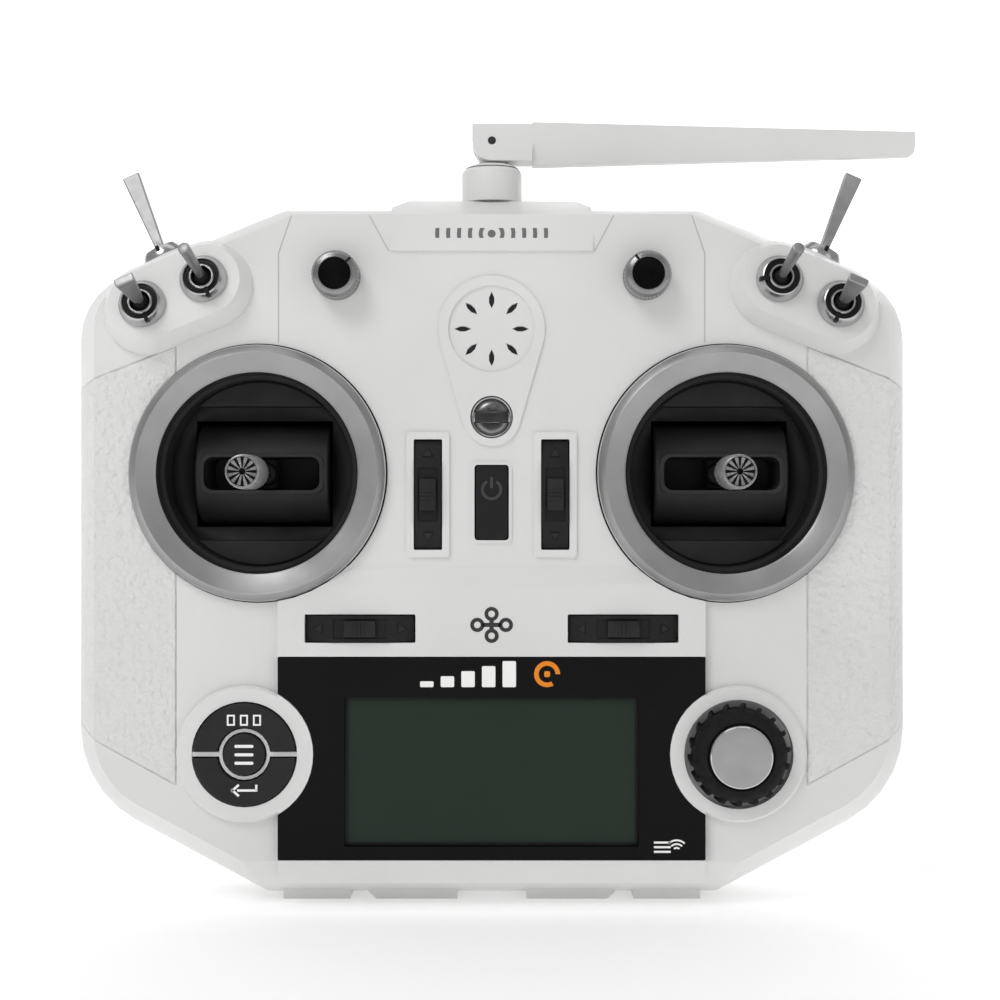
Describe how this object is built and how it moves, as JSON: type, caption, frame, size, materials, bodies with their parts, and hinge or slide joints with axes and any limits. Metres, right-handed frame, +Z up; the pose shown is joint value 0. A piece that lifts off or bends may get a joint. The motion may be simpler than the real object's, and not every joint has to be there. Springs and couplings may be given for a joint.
{
  "type": "radio transmitter controller",
  "caption": "Handheld radio transmitter in a white two-shell case with gimbal sticks, toggle switches, trims, a screen, a rotary encoder and a folding blade antenna.",
  "frame": {"origin": "under the middle of the bounding box, on the surface the case stands on", "axes": "+X to the operator's right across the face, +Y from the face to the back, +Z up towards the antenna"},
  "size_m": [0.2068, 0.095, 0.1917],
  "materials": {
    "white_abs": "fine moulded satin, leather-grained on the grips",
    "gloss_black_lens": "polished acrylic printed black on the back",
    "screen_film": "dark green-grey screen glass, satin",
    "circuit_board": "solder-masked board",
    "black_plastic": "satin moulded black",
    "battery_wrap": "shrink-wrapped",
    "screw_steel": "plain steel",
    "chrome_plate": "polished plating",
    "satin_aluminium": "fine satin, anodised, turned edges",
    "knob_rubber": "matt moulded rubber"
  },
  "bodies": {
    "case": {"front_housing": "white_abs", "rear_housing": "white_abs", "carry_handle": "white_abs", "module_cover": "white_abs", "antenna_post": "white_abs", "screen_bezel": "gloss_black_lens", "lcd_panel": "screen_film", "main_board": "circuit_board", "speaker": "black_plastic", "battery_pack": "battery_wrap", "strap_eyelet": "chrome_plate", "gimbal_ring_left": "satin_aluminium", "gimbal_frame_left": "black_plastic", "gimbal_ring_right": "satin_aluminium", "gimbal_frame_right": "black_plastic", "case_screw_lower_left": "screw_steel", "case_screw_upper_left": "screw_steel", "case_screw_lower_right": "screw_steel", "case_screw_upper_right": "screw_steel", "left_outer_toggle_nut": "chrome_plate", "left_inner_toggle_nut": "chrome_plate", "left_shoulder_toggle_nut": "chrome_plate", "right_outer_toggle_nut": "chrome_plate", "right_inner_toggle_nut": "chrome_plate", "right_shoulder_toggle_nut": "chrome_plate", "left_upright_trim_insert": "black_plastic", "left_level_trim_insert": "black_plastic", "right_upright_trim_insert": "black_plastic", "right_level_trim_insert": "black_plastic"},
    "left_drum": {"gimbal_drum_left": "black_plastic"},
    "left_stick": {"stick_shaft_left": "screw_steel", "stick_tip_left": "satin_aluminium"},
    "left_outer_toggle": {"left_outer_toggle_lever": "chrome_plate"},
    "left_inner_toggle": {"left_inner_toggle_lever": "chrome_plate"},
    "left_shoulder_toggle": {"left_shoulder_toggle_lever": "chrome_plate"},
    "left_pot": {"left_pot_knob": "satin_aluminium"},
    "left_upright_trim": {"left_upright_trim_tab": "black_plastic"},
    "left_level_trim": {"left_level_trim_tab": "black_plastic"},
    "right_drum": {"gimbal_drum_right": "black_plastic"},
    "right_stick": {"stick_shaft_right": "screw_steel", "stick_tip_right": "satin_aluminium"},
    "right_outer_toggle": {"right_outer_toggle_lever": "chrome_plate"},
    "right_inner_toggle": {"right_inner_toggle_lever": "chrome_plate"},
    "right_shoulder_toggle": {"right_shoulder_toggle_lever": "chrome_plate"},
    "right_pot": {"right_pot_knob": "satin_aluminium"},
    "right_upright_trim": {"right_upright_trim_tab": "black_plastic"},
    "right_level_trim": {"right_level_trim_tab": "black_plastic"},
    "power_key": {"power_button": "black_plastic"},
    "page_key": {"page_button": "black_plastic"},
    "exit_key": {"exit_button": "black_plastic"},
    "menu_key": {"menu_button": "black_plastic"},
    "encoder_stem": {"encoder_shaft": "screw_steel"},
    "encoder_dial": {"encoder_knob": "knob_rubber", "encoder_cap": "satin_aluminium"},
    "antenna_knuckle": {"antenna_knuckle": "white_abs", "antenna_pin": "screw_steel"},
    "antenna_mast": {"antenna_blade": "white_abs"},
    "battery_lid": {"battery_door": "white_abs"}
  },
  "joints": [
    {"name": "left_drum_tilt", "type": "hinge", "parent": "case", "child": "left_drum", "pos_m": [-0.0578, -0.002, 0.1044], "axis": [1, 0, 0], "range_deg": [-25, 25]},
    {"name": "left_stick_tilt", "type": "hinge", "parent": "left_drum", "child": "left_stick", "pos_m": [-0.0578, -0.002, 0.1044], "axis": [0, 0, 1], "range_deg": [-25, 25], "stiffness_Nm_per_rad": 0.06},
    {"name": "left_outer_toggle_flick", "type": "hinge", "parent": "case", "child": "left_outer_toggle", "pos_m": [-0.08463, -0.02549, 0.14446], "axis": [0.9255, 0, 0.3787], "range_deg": [0, 20]},
    {"name": "left_inner_toggle_flick", "type": "hinge", "parent": "case", "child": "left_inner_toggle", "pos_m": [-0.07019, -0.02549, 0.15037], "axis": [0.9255, 0, 0.3787], "range_deg": [0, 28]},
    {"name": "left_shoulder_toggle_flick", "type": "hinge", "parent": "case", "child": "left_shoulder_toggle", "pos_m": [-0.08624, 0.011, 0.16057], "axis": [0.889, 0, 0.4579], "range_deg": [0, 24]},
    {"name": "left_pot_turn", "type": "hinge", "parent": "case", "child": "left_pot", "pos_m": [-0.0389, -0.0205, 0.1513], "axis": [0, -1, 0], "range_deg": [-105, 195]},
    {"name": "left_upright_trim_nudge", "type": "slide", "parent": "case", "child": "left_upright_trim", "axis": [0, 0, 1], "range_m": [-0.0025, 0.0025], "stiffness_N_per_m": 250},
    {"name": "left_level_trim_nudge", "type": "slide", "parent": "case", "child": "left_level_trim", "axis": [1, 0, 0], "range_m": [-0.0025, 0.0025], "stiffness_N_per_m": 250},
    {"name": "right_drum_tilt", "type": "hinge", "parent": "case", "child": "right_drum", "pos_m": [0.0538, -0.002, 0.1044], "axis": [1, 0, 0], "range_deg": [-25, 25], "stiffness_Nm_per_rad": 0.06},
    {"name": "right_stick_tilt", "type": "hinge", "parent": "right_drum", "child": "right_stick", "pos_m": [0.0538, -0.002, 0.1044], "axis": [0, 0, 1], "range_deg": [-25, 25], "stiffness_Nm_per_rad": 0.06},
    {"name": "right_outer_toggle_flick", "type": "hinge", "parent": "case", "child": "right_outer_toggle", "pos_m": [0.08063, -0.02549, 0.14446], "axis": [0.9255, 0, -0.3787], "range_deg": [0, 20]},
    {"name": "right_inner_toggle_flick", "type": "hinge", "parent": "case", "child": "right_inner_toggle", "pos_m": [0.06619, -0.02549, 0.15037], "axis": [0.9255, 0, -0.3787], "range_deg": [0, 28]},
    {"name": "right_shoulder_toggle_flick", "type": "hinge", "parent": "case", "child": "right_shoulder_toggle", "pos_m": [0.08224, 0.011, 0.16057], "axis": [0.889, 0, -0.4579], "range_deg": [0, 24], "stiffness_Nm_per_rad": 0.01},
    {"name": "right_pot_turn", "type": "hinge", "parent": "case", "child": "right_pot", "pos_m": [0.0349, -0.0205, 0.1513], "axis": [0, -1, 0], "range_deg": [-185, 115]},
    {"name": "right_upright_trim_nudge", "type": "slide", "parent": "case", "child": "right_upright_trim", "axis": [0, 0, 1], "range_m": [-0.0025, 0.0025], "stiffness_N_per_m": 250},
    {"name": "right_level_trim_nudge", "type": "slide", "parent": "case", "child": "right_level_trim", "axis": [1, 0, 0], "range_m": [-0.0025, 0.0025], "stiffness_N_per_m": 250},
    {"name": "power_press", "type": "slide", "parent": "case", "child": "power_key", "axis": [0, 1, 0], "range_m": [0, 0.0008], "stiffness_N_per_m": 300},
    {"name": "page_press", "type": "slide", "parent": "case", "child": "page_key", "axis": [0, 1, 0], "range_m": [0, 0.0008], "stiffness_N_per_m": 300},
    {"name": "exit_press", "type": "slide", "parent": "case", "child": "exit_key", "axis": [0, 1, 0], "range_m": [0, 0.0008], "stiffness_N_per_m": 300},
    {"name": "menu_press", "type": "slide", "parent": "case", "child": "menu_key", "axis": [0, 1, 0], "range_m": [0, 0.0008], "stiffness_N_per_m": 300},
    {"name": "encoder_press", "type": "slide", "parent": "case", "child": "encoder_stem", "axis": [0, 1, 0], "range_m": [0, 0.0006], "stiffness_N_per_m": 400},
    {"name": "encoder_turn", "type": "hinge", "parent": "encoder_stem", "child": "encoder_dial", "pos_m": [0.0568, -0.0203, 0.0375], "axis": [0, -1, 0], "continuous": true},
    {"name": "antenna_swivel", "type": "hinge", "parent": "case", "child": "antenna_knuckle", "pos_m": [-0.002, 0, 0.1719], "axis": [0, 0, 1], "range_deg": [-90, 90]},
    {"name": "antenna_fold", "type": "hinge", "parent": "antenna_knuckle", "child": "antenna_mast", "pos_m": [-0.002, 0, 0.1871], "axis": [0, -1, 0], "range_deg": [0, 90]},
    {"name": "battery_door_swing", "type": "hinge", "parent": "case", "child": "battery_lid", "pos_m": [-0.002, 0.0262, 0.0173], "axis": [-1, 0, 0], "range_deg": [0, 90]}
  ]
}
